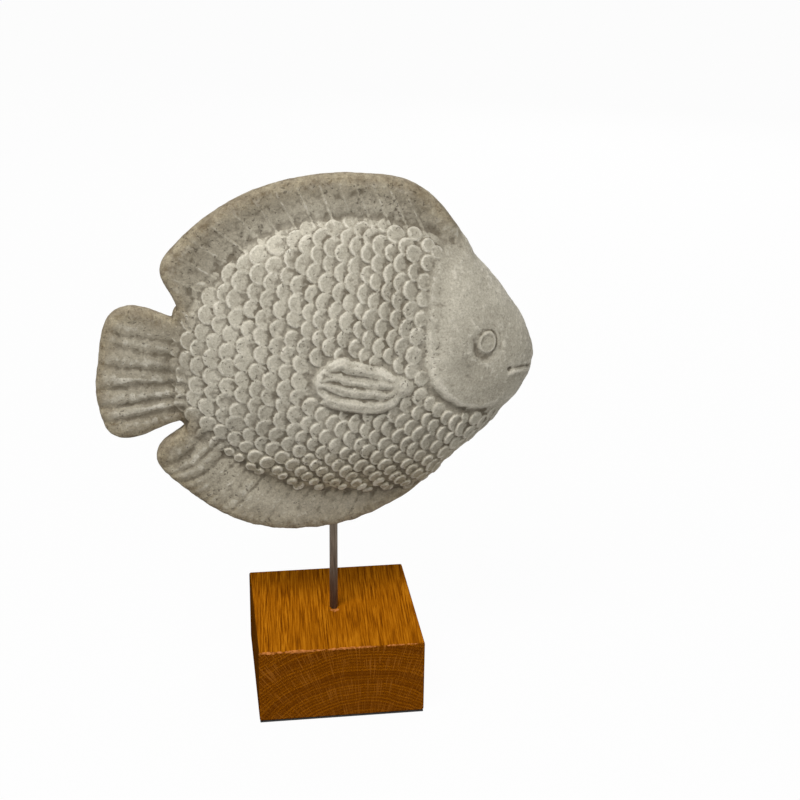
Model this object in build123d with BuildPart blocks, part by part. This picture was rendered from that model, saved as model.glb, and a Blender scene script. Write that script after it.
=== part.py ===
from build123d import *
import os

# Fish figurine: a cast concrete fish that plugs onto a steel rod standing in an oak block.
# Millimetres, +Z up, +X towards the fish's snout, +Y towards its far side.
# The origin is on the surface that the figurine stands on, under the rod.

# Stand
block_side = 100.0
block_height = 47.5
block_edge_radius = 1.2
felt_thickness = 1.2
felt_inset = 0.3
rod_diameter = 5.0
rod_end_chamfer = 0.5
bare_rod_length = 57.5
hole_chip_width = 4.8
hole_chip_length = 6.5
hole_chip_depth = 0.6
counterbore_diameter = 17.0
counterbore_depth = 9.0
washer_diameter = 15.0
washer_thickness = 1.2
nut_across_flats = 8.0
nut_thickness = 4.0
rod_end_below_nut = 1.5

# Socket cast into the fish
rod_plug_depth = 62.0
sleeve_wall = 1.0
sleeve_recess = 4.0
sleeve_plug_length = 6.0
running_clearance = 0.05
neck_clearance = 0.4
drill_clearance = 0.05

# Fish casting
fish_length = 256.0
fish_height = 218.8
body_thickness = 64.0
dorsal_thickness = 12.0
tail_thickness = 11.0
anal_thickness = 13.0
fin_edge_radius = 4.5
rim_step = 0.9
gill_step = 1.6
pectoral_rise = 3.4
pectoral_groove_width = 2.4
eye_diameter = 10.6
eye_ring_width = 2.2
mouth_gap = 1.6
ray_groove_radius = 2.6
ray_groove_depth = 1.0
ray_ridge_radius = 1.8
ray_ridge_height = 0.4
overrun = 2.0

# Levels worked out from the sizes above
block_bottom = felt_thickness
block_top = block_bottom + block_height
counterbore_top = block_bottom + counterbore_depth
fish_bottom = block_top + bare_rod_length
sleeve_bottom = fish_bottom + sleeve_recess
rod_top = fish_bottom + rod_plug_depth
sleeve_top = rod_top + sleeve_plug_length
washer_bottom = counterbore_top - washer_thickness
nut_bottom = washer_bottom - nut_thickness
rod_bottom = nut_bottom - rod_end_below_nut
rod_radius = rod_diameter / 2
sleeve_bore_radius = rod_radius + running_clearance
sleeve_radius = sleeve_bore_radius + sleeve_wall

# The fish is drawn in its own side view. Shares run along its length from the rod and
# up its height from its lowest point.

# Cross-sections of the body: place along, lowest, highest, thickness
body_station_shares = [
    (-0.359, 0.344, 0.606, 0.20),
    (-0.336, 0.317, 0.648, 0.27),
    (-0.297, 0.278, 0.704, 0.39),
    (-0.242, 0.226, 0.780, 0.53),
    (-0.176, 0.172, 0.842, 0.68),
    (-0.098, 0.136, 0.878, 0.81),
    (-0.020, 0.118, 0.893, 0.90),
    (0.059, 0.113, 0.895, 0.96),
    (0.137, 0.118, 0.881, 0.98),
    (0.195, 0.124, 0.862, 0.96),
    (0.242, 0.158, 0.836, 0.93),
    (0.281, 0.199, 0.803, 0.88),
    (0.320, 0.235, 0.760, 0.81),
    (0.359, 0.278, 0.708, 0.72),
    (0.391, 0.317, 0.665, 0.61),
    (0.414, 0.349, 0.632, 0.51),
    (0.432, 0.377, 0.602, 0.41),
    (0.446, 0.405, 0.567, 0.31),
    (0.456, 0.433, 0.535, 0.21),
    (0.462, 0.460, 0.510, 0.13),
]

dorsal_edge_shares = [
    (-0.346, 0.624), (-0.352, 0.668), (-0.372, 0.718), (-0.382, 0.750), (-0.376, 0.782),
    (-0.355, 0.813), (-0.300, 0.874), (-0.224, 0.934), (-0.123, 0.980), (-0.018, 1.000),
    (0.069, 0.999), (0.164, 0.979), (0.223, 0.937), (0.269, 0.871), (0.313, 0.783),
]
dorsal_root_shares = [(0.290, 0.740), (0.059, 0.820), (-0.176, 0.740), (-0.310, 0.600)]
dorsal_hollow_shares = [
    (0.248, 0.822), (0.214, 0.889), (0.160, 0.942), (0.090, 0.967), (0.000, 0.971),
    (-0.090, 0.958), (-0.190, 0.921), (-0.275, 0.851), (-0.334, 0.778), (-0.342, 0.705),
    (-0.326, 0.645),
]

tail_edge_shares = [
    (-0.340, 0.620), (-0.393, 0.645), (-0.463, 0.662), (-0.495, 0.642), (-0.513, 0.605),
    (-0.528, 0.511), (-0.536, 0.435), (-0.528, 0.359), (-0.513, 0.315), (-0.490, 0.297),
    (-0.455, 0.296), (-0.383, 0.326), (-0.336, 0.340),
]
tail_root_shares = [(-0.300, 0.400), (-0.300, 0.560)]

anal_edge_shares = [
    (-0.333, 0.330), (-0.385, 0.282), (-0.405, 0.252), (-0.407, 0.224), (-0.389, 0.188),
    (-0.329, 0.119), (-0.262, 0.059), (-0.187, 0.018), (-0.080, 0.000), (0.016, 0.010),
    (0.102, 0.045), (0.159, 0.080), (0.216, 0.133),
]
anal_root_shares = [(0.200, 0.220), (0.050, 0.220), (-0.150, 0.300), (-0.290, 0.350)]

gill_edge_shares = [
    (0.285, 0.850), (0.238, 0.804), (0.212, 0.752), (0.204, 0.693), (0.199, 0.610),
    (0.198, 0.541), (0.212, 0.465), (0.238, 0.421), (0.268, 0.394), (0.300, 0.380),
    (0.337, 0.376), (0.375, 0.368), (0.412, 0.350), (0.445, 0.325),
]
head_front_shares = [(0.520, 0.325), (0.520, 0.850)]

eye_shares = (0.339, 0.566)
mouth_shares = (0.402, 0.473)
mouth_tilt = -15.0

pectoral_edge_shares = [
    (0.163, 0.461), (0.128, 0.493), (0.087, 0.502), (0.050, 0.513), (0.023, 0.535),
    (-0.009, 0.538), (-0.038, 0.518), (-0.052, 0.488), (-0.043, 0.447), (-0.010, 0.414),
    (0.036, 0.397), (0.088, 0.404), (0.132, 0.430),
]
pectoral_groove_shares = [
    [(-0.022, 0.524), (0.045, 0.494), (0.118, 0.481)],
    [(-0.040, 0.502), (0.036, 0.464), (0.118, 0.458)],
    [(-0.046, 0.466), (0.030, 0.436), (0.114, 0.436)],
]

# Grooves and ridges of the fin rays: from the root to the fin's edge, the anal fin's curved
tail_ray_shares = [
    ((-0.340, 0.599), (-0.540, 0.656)),
    ((-0.340, 0.561), (-0.560, 0.614)),
    ((-0.340, 0.522), (-0.560, 0.581)),
    ((-0.340, 0.477), (-0.560, 0.508)),
    ((-0.340, 0.446), (-0.560, 0.436)),
    ((-0.340, 0.413), (-0.560, 0.381)),
    ((-0.340, 0.376), (-0.560, 0.337)),
]
anal_ray_shares = [
    ((-0.284, 0.314), (-0.347, 0.237), (-0.436, 0.188)),
    ((-0.238, 0.262), (-0.296, 0.192), (-0.378, 0.149)),
    ((-0.218, 0.236), (-0.276, 0.154), (-0.352, 0.088)),
    ((-0.190, 0.216), (-0.250, 0.127), (-0.318, 0.051)),
    ((-0.162, 0.200), (-0.224, 0.114), (-0.291, 0.032)),
    ((-0.133, 0.187), (-0.198, 0.102), (-0.263, 0.008)),
    ((-0.095, 0.171), (-0.155, 0.085), (-0.217, -0.010)),
    ((-0.060, 0.161), (-0.110, 0.075), (-0.162, -0.022)),
    ((-0.024, 0.156), (-0.060, 0.065), (-0.107, -0.029)),
    ((0.022, 0.154), (-0.015, 0.064), (-0.054, -0.029)),
    ((0.065, 0.158), (0.029, 0.068), (-0.008, -0.023)),
    ((0.102, 0.166), (0.067, 0.081), (0.038, -0.010)),
    ((0.138, 0.176), (0.106, 0.096), (0.080, 0.014)),
]
dorsal_ray_shares = [
    ((-0.285, 0.700), (-0.346, 0.738)),
    ((-0.260, 0.740), (-0.335, 0.795)),
    ((-0.230, 0.775), (-0.300, 0.838)),
    ((-0.195, 0.808), (-0.258, 0.872)),
    ((-0.158, 0.834), (-0.210, 0.905)),
    ((-0.120, 0.852), (-0.163, 0.929)),
    ((-0.082, 0.866), (-0.116, 0.945)),
    ((-0.044, 0.874), (-0.068, 0.957)),
    ((0.000, 0.878), (-0.020, 0.964)),
    ((0.042, 0.878), (0.022, 0.967)),
    ((0.084, 0.872), (0.058, 0.966)),
    ((0.128, 0.860), (0.098, 0.958)),
    ((0.168, 0.850), (0.136, 0.944)),
    ((0.206, 0.838), (0.176, 0.922)),
]


# Side-view point in millimetres
def side_point(share):
    return (share[0] * fish_length, fish_bottom + share[1] * fish_height)


def side_points(shares):
    return [side_point(share) for share in shares]


# Lens-shaped body through its cross-sections, grown all round by a layer
def domed_body(layer):
    with BuildPart() as dome:
        for along, low, high, thick in body_station_shares:
            middle = fish_bottom + (low + high) / 2 * fish_height
            half_height = (high - low) / 2 * fish_height + layer
            half_thickness = thick * body_thickness / 2 + layer
            with BuildSketch(Plane.YZ.offset(along * fish_length)):
                with Locations((0, middle)):
                    Ellipse(half_thickness, half_height)
        loft()
    return dome.part


# Flat fin with rounded outer edges
def fin_plate(edge_shares, root_shares, thickness):
    edge = side_points(edge_shares)
    root = side_points(root_shares)
    with BuildPart() as fin:
        with BuildSketch(Plane.XZ.offset(-thickness / 2)):
            with BuildLine():
                Spline(edge)
                Polyline([edge[-1]] + root + [edge[0]])
            make_face()
        extrude(amount=thickness)
        outer_edges = fin.edges().filter_by(GeomType.BSPLINE)
        fillet(outer_edges, radius=fin_edge_radius)
    return fin.part


# Planes along one ray on both faces of a fin, at a height above the fin's mid-plane
def ray_planes(ray_share, height):
    root = side_point(ray_share[0])
    tip = side_point(ray_share[1])
    planes = []
    for side in (-1, 1):
        start = Vector(root[0], side * height, root[1])
        end = Vector(tip[0], side * height, tip[1])
        planes.append(Plane(origin=start, z_dir=end - start))
    return planes


def ray_length(ray_share):
    root = side_point(ray_share[0])
    tip = side_point(ray_share[1])
    return (Vector(*tip) - Vector(*root)).length


# Round bars along curved rays on both faces of a fin, at a height above the fin's mid-plane
def curved_ray_bars(ray_shares, height, radius):
    with BuildPart() as bars:
        for ray in ray_shares:
            points = [Vector(x, -height, z) for x, z in side_points(ray)]
            with BuildLine() as run:
                ThreePointArc(*points)
            with BuildSketch(Plane(origin=run.line @ 0, z_dir=run.line % 0)):
                Circle(radius)
            sweep(path=run.line)
        mirror(about=Plane.XZ)
    return bars.part


# Dorsal fin, hollowed inside its rim, with raised rays in the hollow
with BuildPart() as dorsal_fin:
    add(fin_plate(dorsal_edge_shares, dorsal_root_shares, dorsal_thickness))
    hollow = side_points(dorsal_hollow_shares)
    hollow_root = side_points(dorsal_root_shares)
    floor_height = dorsal_thickness / 2 - rim_step
    for side in (-1, 1):
        with BuildSketch(Plane.XZ.offset(side * floor_height)):
            with BuildLine():
                Spline(hollow)
                Polyline([hollow[-1]] + hollow_root[::-1] + [hollow[0]])
            make_face()
        extrude(amount=side * (rim_step + overrun), mode=Mode.SUBTRACT)
    ridge_height = floor_height - ray_ridge_radius + ray_ridge_height
    for ray in dorsal_ray_shares:
        with Locations(*ray_planes(ray, ridge_height)):
            Cylinder(ray_ridge_radius, ray_length(ray), align=(Align.CENTER, Align.CENTER, Align.MIN))

# Tail fin with fanned grooves
with BuildPart() as tail_fin:
    add(fin_plate(tail_edge_shares, tail_root_shares, tail_thickness))
    groove_height = tail_thickness / 2 + ray_groove_radius - ray_groove_depth
    for ray in tail_ray_shares:
        with Locations(*ray_planes(ray, groove_height)):
            Cylinder(ray_groove_radius, ray_length(ray), mode=Mode.SUBTRACT,
                     align=(Align.CENTER, Align.CENTER, Align.MIN))

# Anal fin with raked grooves
with BuildPart() as anal_fin:
    add(fin_plate(anal_edge_shares, anal_root_shares, anal_thickness))
    groove_height = anal_thickness / 2 + ray_groove_radius - ray_groove_depth
    grooves = curved_ray_bars(anal_ray_shares, groove_height, ray_groove_radius)
    add(grooves, mode=Mode.SUBTRACT)

# Smooth head, proud of the scaled body behind the gill edge, with the ring round each eye
with BuildPart() as head:
    add(domed_body(gill_step))
    gill = side_points(gill_edge_shares)
    front = side_points(head_front_shares)
    with BuildSketch(Plane.XZ.offset(-body_thickness)):
        with BuildLine():
            Spline(gill)
            Polyline([gill[-1]] + front + [gill[0]])
        make_face()
        with Locations(side_point(eye_shares)):
            Circle(eye_diameter / 2 + eye_ring_width, mode=Mode.SUBTRACT)
            Circle(eye_diameter / 2)
    extrude(amount=2 * body_thickness, mode=Mode.INTERSECT)

# Pectoral fins, one on each flank, parted into ribs by curved grooves
with BuildPart() as pectoral_fins:
    add(domed_body(pectoral_rise))
    leaf = side_points(pectoral_edge_shares)
    with BuildSketch(Plane.XZ.offset(-body_thickness)):
        with BuildLine():
            Spline(leaf, periodic=True)
        make_face()
    extrude(amount=2 * body_thickness, mode=Mode.INTERSECT)
    for groove_shares in pectoral_groove_shares:
        root, middle, tip = side_points(groove_shares)
        with BuildSketch(Plane.XZ.offset(-body_thickness)):
            with BuildLine():
                ThreePointArc(root, middle, tip)
            trace(line_width=pectoral_groove_width)
        extrude(amount=2 * body_thickness, mode=Mode.SUBTRACT)

# Cast fish, with the cavity that holds the sleeve and the neck that the rod passes
with BuildPart() as fish_body:
    add(domed_body(0))
    add(dorsal_fin.part)
    add(tail_fin.part)
    add(anal_fin.part)
    add(head.part)
    add(pectoral_fins.part)
    mouth_inner = side_point(mouth_shares)
    with BuildSketch(Plane.XZ.offset(-body_thickness)):
        with Locations(mouth_inner):
            Rectangle(fish_length, mouth_gap, rotation=mouth_tilt, align=(Align.MIN, Align.CENTER))
    extrude(amount=2 * body_thickness, mode=Mode.SUBTRACT)
    with Locations((0, 0, sleeve_bottom)):
        Cylinder(sleeve_radius + running_clearance, sleeve_top - sleeve_bottom, mode=Mode.SUBTRACT,
                 align=(Align.CENTER, Align.CENTER, Align.MIN))
    with Locations((0, 0, fish_bottom - overrun)):
        Cylinder(rod_radius + neck_clearance, sleeve_recess + 2 * overrun, mode=Mode.SUBTRACT,
                 align=(Align.CENTER, Align.CENTER, Align.MIN))

# Sleeve cast into the fish round the rod
with BuildPart() as rod_sleeve:
    with BuildSketch(Plane.XY.offset(sleeve_bottom)):
        Circle(sleeve_radius)
        Circle(sleeve_bore_radius, mode=Mode.SUBTRACT)
    extrude(amount=sleeve_top - sleeve_bottom)

# Plug that closes the sleeve and stands on the rod's end
with BuildPart() as sleeve_plug:
    with BuildSketch(Plane.XY.offset(rod_top)):
        Circle(sleeve_bore_radius)
    extrude(amount=sleeve_plug_length)

# Steel rod, clamped in the block and plugged into the fish
with BuildPart() as support_rod:
    with BuildSketch(Plane.XY.offset(rod_bottom)):
        Circle(rod_radius)
    extrude(amount=rod_top - rod_bottom)
    chamfer(support_rod.edges().filter_by(GeomType.CIRCLE), length=rod_end_chamfer)

# Oak block, drilled for the rod and counterbored from below, with a torn chip at the hole's mouth
with BuildPart() as oak_block:
    with BuildSketch(Plane.XY.offset(block_bottom)):
        Rectangle(block_side, block_side)
    extrude(amount=block_height)
    fillet(oak_block.edges(), radius=block_edge_radius)
    with BuildSketch(Plane.XY.offset(block_bottom)):
        Circle(rod_radius + drill_clearance)
    extrude(amount=block_height, mode=Mode.SUBTRACT)
    with BuildSketch(Plane.XY.offset(block_bottom)):
        Circle(counterbore_diameter / 2)
    extrude(amount=counterbore_depth, mode=Mode.SUBTRACT)
    with BuildSketch(Plane.XY.offset(block_top)):
        with BuildLine():
            Polyline((-hole_chip_width / 2, 0), (hole_chip_width / 2, 0),
                     (0, -rod_radius - hole_chip_length), close=True)
        make_face()
    extrude(amount=-hole_chip_depth, mode=Mode.SUBTRACT)

# Washer under the block's counterbore
with BuildPart() as rod_washer:
    with BuildSketch(Plane.XY.offset(washer_bottom)):
        Circle(washer_diameter / 2)
        Circle(rod_radius + drill_clearance, mode=Mode.SUBTRACT)
    extrude(amount=washer_thickness)

# Hexagon nut on the rod's lower end
with BuildPart() as rod_nut:
    with BuildSketch(Plane.XY.offset(nut_bottom)):
        RegularPolygon(nut_across_flats / 2, side_count=6, major_radius=False)
        Circle(rod_radius + drill_clearance, mode=Mode.SUBTRACT)
    extrude(amount=nut_thickness)

# Felt sheet stuck under the block
with BuildPart() as felt_sheet:
    with BuildSketch(Plane.XY):
        RectangleRounded(block_side - 2 * felt_inset, block_side - 2 * felt_inset, block_edge_radius)
    extrude(amount=felt_thickness)

os.makedirs("parts", exist_ok=True)
pieces = {
    "fish_body": fish_body,
    "rod_sleeve": rod_sleeve,
    "sleeve_plug": sleeve_plug,
    "support_rod": support_rod,
    "oak_block": oak_block,
    "rod_washer": rod_washer,
    "rod_nut": rod_nut,
    "felt_sheet": felt_sheet,
}
for label, piece in pieces.items():
    piece.part.label = label
    export_step(piece.part, f"parts/{label}.step")
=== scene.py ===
import bpy
import math
import random
import numpy as np
from mathutils import Matrix, Vector
from mathutils.bvhtree import BVHTree


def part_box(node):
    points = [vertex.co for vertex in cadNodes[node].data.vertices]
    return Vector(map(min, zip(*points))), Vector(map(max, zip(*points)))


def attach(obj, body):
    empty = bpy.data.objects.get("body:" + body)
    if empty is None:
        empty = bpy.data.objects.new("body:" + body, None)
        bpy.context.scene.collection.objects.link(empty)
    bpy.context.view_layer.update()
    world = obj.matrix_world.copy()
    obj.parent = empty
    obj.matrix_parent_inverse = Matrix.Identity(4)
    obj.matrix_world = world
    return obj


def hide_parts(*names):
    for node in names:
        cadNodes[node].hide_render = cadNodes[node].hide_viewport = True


# Concrete fish figurine on a steel rod and an oak block. Metres, +Z up, the snout towards +X.

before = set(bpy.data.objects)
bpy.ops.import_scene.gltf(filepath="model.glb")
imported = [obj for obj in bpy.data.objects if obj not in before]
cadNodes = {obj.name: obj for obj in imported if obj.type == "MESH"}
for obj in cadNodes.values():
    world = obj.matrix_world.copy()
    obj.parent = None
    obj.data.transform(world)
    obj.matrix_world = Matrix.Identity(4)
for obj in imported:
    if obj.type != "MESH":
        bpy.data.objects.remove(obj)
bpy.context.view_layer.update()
random.seed(7)
mm = 0.001
print("frame loaded")


def deselectAll():
    if bpy.context.object and bpy.context.object.mode != "OBJECT":
        bpy.ops.object.mode_set(mode="OBJECT")
    bpy.ops.object.select_all(action="DESELECT")


def makeActive(piece):
    deselectAll()
    piece.select_set(True)
    bpy.context.view_layer.objects.active = piece


def applyModifier(piece, kind, **settings):
    makeActive(piece)
    modifier = piece.modifiers.new(kind.lower(), kind)
    for name, value in settings.items():
        setattr(modifier, name, value)
    bpy.ops.object.modifier_apply(modifier=modifier.name)


def copyOfNode(nodeName, pieceName):
    # a merged copy of a CAD node's mesh, to be worked on
    piece = bpy.data.objects.new(pieceName, cadNodes[nodeName].data.copy())
    bpy.context.scene.collection.objects.link(piece)
    piece.data.materials.clear()
    makeActive(piece)
    bpy.ops.object.mode_set(mode="EDIT")
    bpy.ops.mesh.select_all(action="SELECT")
    bpy.ops.mesh.remove_doubles(threshold=0.00001)
    bpy.ops.object.mode_set(mode="OBJECT")
    return piece


def pointsOf(piece):
    points = np.zeros(len(piece.data.vertices) * 3)
    piece.data.vertices.foreach_get("co", points)
    return points.reshape(-1, 3)


def setPoints(piece, points):
    piece.data.vertices.foreach_set("co", np.ascontiguousarray(points, float).ravel())
    piece.data.update()


def normalsOf(piece):
    normals = np.zeros(len(piece.data.vertices) * 3)
    piece.data.vertex_normals.foreach_get("vector", normals)
    return normals.reshape(-1, 3)


def edgesOf(piece):
    edges = np.zeros(len(piece.data.edges) * 2, int)
    piece.data.edges.foreach_get("vertices", edges)
    return edges.reshape(-1, 2)


def spread(values, edges, rounds):
    # mean over each point's neighbours, done again and again
    count = np.bincount(edges.ravel(), minlength=len(values)).astype(float)
    count[count == 0] = 1
    values = values.astype(float)
    for _ in range(rounds):
        total = np.zeros_like(values)
        for axis in range(values.shape[1]):
            column = values[:, axis]
            total[:, axis] = (np.bincount(edges[:, 0], column[edges[:, 1]], len(values))
                              + np.bincount(edges[:, 1], column[edges[:, 0]], len(values)))
        values = total / count[:, None]
    return values


def storeAttribute(piece, name, values):
    attribute = piece.data.attributes.new(name, "FLOAT", "POINT")
    attribute.data.foreach_set("value", np.ascontiguousarray(values, float))


def smoothShade(piece, degrees=None):
    makeActive(piece)
    if degrees is None:
        bpy.ops.object.shade_smooth()
    else:
        bpy.ops.object.shade_smooth_by_angle(angle=math.radians(degrees))


def addNode(tree, kind, inputs=None, **settings):
    node = tree.nodes.new("ShaderNode" + kind)
    for name, value in settings.items():
        setattr(node, name, value)
    for name, value in (inputs or {}).items():
        node.inputs[name].default_value = value
    return node


def feed(tree, socket, value):
    # another node's output is linked, a plain value is set
    if hasattr(value, "is_output"):
        tree.links.new(value, socket)
    else:
        socket.default_value = value


def maths(tree, operation, first, second=0.0):
    node = addNode(tree, "Math", operation=operation)
    feed(tree, node.inputs[0], first)
    feed(tree, node.inputs[1], second)
    return node.outputs[0]


def linear(red, green, blue):
    # a colour as read off a screen, 0 to 255, made linear
    return tuple(((c / 255 + 0.055) / 1.055) ** 2.4 for c in (red, green, blue)) + (1,)


def ramp(tree, source, places, values):
    # a colour (three numbers to 255) or a grey (one to 1) at each place along the source
    node = addNode(tree, "ValToRGB")
    elements = node.color_ramp.elements
    while len(elements) < len(places):
        elements.new(0.5)
    for element, place, value in zip(elements, places, values):
        element.position = place
        element.color = linear(*value) if isinstance(value, tuple) else (value, value, value, 1)
    tree.links.new(source, node.inputs["Fac"])
    return node.outputs["Color"]


def blendColours(tree, share, first, second, kind="MIX"):
    node = addNode(tree, "Mix", data_type="RGBA", blend_type=kind)
    for number, value in ((0, share), (6, first), (7, second)):  # 6 and 7 are the colour sockets
        feed(tree, node.inputs[number], value)
    return node.outputs[2]


def noise(tree, source, scale, detail, roughness):
    node = addNode(tree, "TexNoise", {"Scale": scale, "Detail": detail, "Roughness": roughness})
    tree.links.new(source, node.inputs["Vector"])
    return node.outputs["Fac"]


def vectorOf(tree, x, y, z):
    node = addNode(tree, "CombineXYZ")
    for socket, value in zip(node.inputs, (x, y, z)):
        feed(tree, socket, value)
    return node.outputs[0]


def separate(tree, source):
    node = addNode(tree, "SeparateXYZ")
    tree.links.new(source, node.inputs[0])
    return node.outputs


def addBump(tree, shader, height, strength, depth):
    bump = addNode(tree, "Bump", {"Strength": strength, "Distance": depth})
    tree.links.new(height, bump.inputs["Height"])
    tree.links.new(bump.outputs["Normal"], shader.inputs["Normal"])


def newMaterial(name, roughness):
    material = bpy.data.materials.new(name)
    material.use_nodes = True
    tree = material.node_tree
    shader = tree.nodes["Principled BSDF"]
    shader.inputs["Roughness"].default_value = roughness
    return material, tree, shader, addNode(tree, "TexCoord").outputs["Object"]


# camera, lamps and floor
viewSizes = {
    "cameraPlace": (-0.08706, -0.85575, 0.54905),
    "pitch": -22.741,
    "roll": -0.836,
    "yaw": -8.442,
    "lens": 71.02,
    "sensor": 36.0,
    "floorRadius": 9.0,
    "floorGrey": 0.50,
    "floorWhite": 0.97,
    "lampAim": (0, 0, 0.19),
    "keyPlace": (-0.62, -0.78, 1.58),
    "keySize": 0.9,
    "keyPower": 31.0,
    "fillPlace": (1.0, -1.1, 1.2),
    "fillSize": 1.0,
    "fillPower": 8.0,
    "backPlace": (0.55, 1.35, 0.75),
    "backSize": 1.2,
    "backPower": 13.0,
    "ambient": 0.17,
    "ambientColour": (1.0, 0.99, 0.97, 1),
}


def makeCamera():
    sizes = viewSizes
    camera = bpy.data.objects.new("camera", bpy.data.cameras.new("camera"))
    bpy.context.scene.collection.objects.link(camera)
    camera.data.lens = sizes["lens"]
    camera.data.sensor_width = sizes["sensor"]
    turn = (Matrix.Rotation(math.radians(sizes["yaw"]), 4, "Z")
            @ Matrix.Rotation(math.radians(sizes["pitch"]), 4, "X")
            @ Matrix.Rotation(math.radians(sizes["roll"]), 4, "Y")
            @ Matrix.Rotation(math.radians(90), 4, "X"))
    camera.matrix_world = Matrix.Translation(sizes["cameraPlace"]) @ turn
    camera.data.clip_start = 0.01
    camera.data.clip_end = 50
    bpy.context.scene.camera = camera


def makeLamp(name, place, size, power):
    lamp = bpy.data.objects.new(name, bpy.data.lights.new(name, "AREA"))
    bpy.context.scene.collection.objects.link(lamp)
    lamp.data.shape = "DISK"
    lamp.data.size = size
    lamp.data.energy = power
    lamp.location = place
    lamp.rotation_mode = "QUATERNION"
    aim = Vector(viewSizes["lampAim"]) - Vector(place)
    lamp.rotation_quaternion = aim.to_track_quat("-Z", "Y")


def seenDirectly(tree):
    # 1 where the camera, a reflection or a refraction looks
    path = addNode(tree, "LightPath").outputs
    seen = maths(tree, "MAXIMUM", path["Is Camera Ray"], path["Is Glossy Ray"])
    return maths(tree, "MAXIMUM", seen, path["Is Transmission Ray"])


def mixInto(tree, output, share, plain, white):
    # plain where light falls on the object, white where the background is looked at
    mix = addNode(tree, "MixShader")
    for socket, source in zip(mix.inputs, (share, plain.outputs[0], white.outputs[0])):
        tree.links.new(source, socket)
    tree.links.new(mix.outputs[0], output.inputs["Surface"])


def makeStage():
    sizes = viewSizes
    deselectAll()
    bpy.ops.mesh.primitive_circle_add(vertices=96, radius=sizes["floorRadius"], fill_type="NGON")
    floor = bpy.context.object
    floor.name = "floor"
    paint = bpy.data.materials.new("floorPaint")
    paint.use_nodes = True
    tree = paint.node_tree
    tree.nodes.clear()
    matt = addNode(tree, "BsdfDiffuse", {"Color": (*[sizes["floorGrey"]] * 3, 1)})
    glow = addNode(tree, "Emission", {"Color": (1, 1, 1, 1), "Strength": 1.0})
    share = maths(tree, "MULTIPLY", seenDirectly(tree), sizes["floorWhite"])
    mixInto(tree, addNode(tree, "OutputMaterial"), share, matt, glow)
    floor.data.materials.append(paint)

    world = bpy.data.worlds.new("studio")
    bpy.context.scene.world = world
    world.use_nodes = True
    tree = world.node_tree
    tree.nodes.clear()
    ambient = {"Color": sizes["ambientColour"], "Strength": sizes["ambient"]}
    around = addNode(tree, "Background", ambient)
    white = addNode(tree, "Background", {"Color": (1, 1, 1, 1), "Strength": 1.0})
    mixInto(tree, addNode(tree, "OutputWorld"), seenDirectly(tree), around, white)

    for name in ("key", "fill", "back"):
        makeLamp(name + "Lamp", sizes[name + "Place"], sizes[name + "Size"], sizes[name + "Power"])
    bpy.context.scene.view_settings.view_transform = "Standard"


makeCamera()
makeStage()
print("camera and stage made")


# the casting with its scales: metres and degrees, places on it as shares of its length and
# height, and each ring round the eye with its distance and half width in mm
fishSizes = {
    "voxel": 0.00056,
    "firstCoarseness": 1.4,
    "triangles": 190000,
    "length": 0.256,
    "height": 0.2188,
    "bottom": 0.1062,
    "centre": (0.008, 0.217),
    "scaleSides": 18,
    "scaleRadius": 0.0059,
    "scaleDepth": 0.0030,
    "scalePitch": 0.0104,
    "scaleTilt": 12.5,
    "scaleSpread": (0.85, 1.09),
    "frontStep": 0.0067,
    "rearStep": 0.0092,
    "columns": (0.135, -0.125),
    "rows": (-0.125, 0.12),
    "bendLevel": -0.005,
    "bendReach": 0.09,
    "looseness": 0.0008,
    "leafMargin": 0.0026,
    "eye": (0.338, 0.567),
    "eyeHollow": (8.8, 2.4),
    "eyeCrease": (7.1, 0.8),
    "eyeLid": (10.2, 0.9),
    "eyeButton": (6.3, 0.3),
    "eyeRing": (5.5, 0.6),
    "boreWall": (0.0034, 0.0037),
    "boreRadius": 0.0040,
    "neckRadius": 0.0032,
    "unevenness": ((0.016, 0.0007), (0.005, 0.0004), (0.0026, 0.0003)),
    "reliefDepth": 0.00022,
    "rimWidth": 3.0,
}

# outline of the domed body in its side view: place along, lowest and highest, as shares
domeShares = [
    (-0.359, 0.344, 0.606), (-0.297, 0.278, 0.704), (-0.242, 0.226, 0.780), (-0.176, 0.172, 0.842),
    (-0.098, 0.136, 0.878), (-0.020, 0.118, 0.893), (0.059, 0.113, 0.895), (0.137, 0.118, 0.881),
    (0.195, 0.124, 0.862), (0.242, 0.158, 0.836), (0.281, 0.199, 0.803), (0.320, 0.235, 0.760),
    (0.359, 0.278, 0.708), (0.391, 0.317, 0.665), (0.432, 0.377, 0.602), (0.462, 0.460, 0.510),
]

# the field that the scales cover, as shares
scaleFieldShares = [
    (-0.350, 0.400), (-0.362, 0.470), (-0.358, 0.560), (-0.340, 0.636), (-0.306, 0.692),
    (-0.268, 0.738), (-0.236, 0.782), (-0.205, 0.815), (-0.155, 0.852), (-0.080, 0.876),
    (-0.020, 0.886), (0.050, 0.890), (0.110, 0.876), (0.165, 0.856), (0.222, 0.832),
    (0.244, 0.806), (0.226, 0.785), (0.212, 0.750), (0.206, 0.690), (0.202, 0.640),
    (0.196, 0.580), (0.192, 0.500), (0.204, 0.450), (0.222, 0.415), (0.262, 0.383),
    (0.300, 0.368), (0.340, 0.364), (0.380, 0.352), (0.402, 0.338), (0.392, 0.300),
    (0.340, 0.240), (0.290, 0.190), (0.235, 0.140), (0.180, 0.128), (0.090, 0.122),
    (0.000, 0.125), (-0.090, 0.145), (-0.165, 0.180), (-0.230, 0.232), (-0.285, 0.282),
    (-0.330, 0.335),
]

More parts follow.
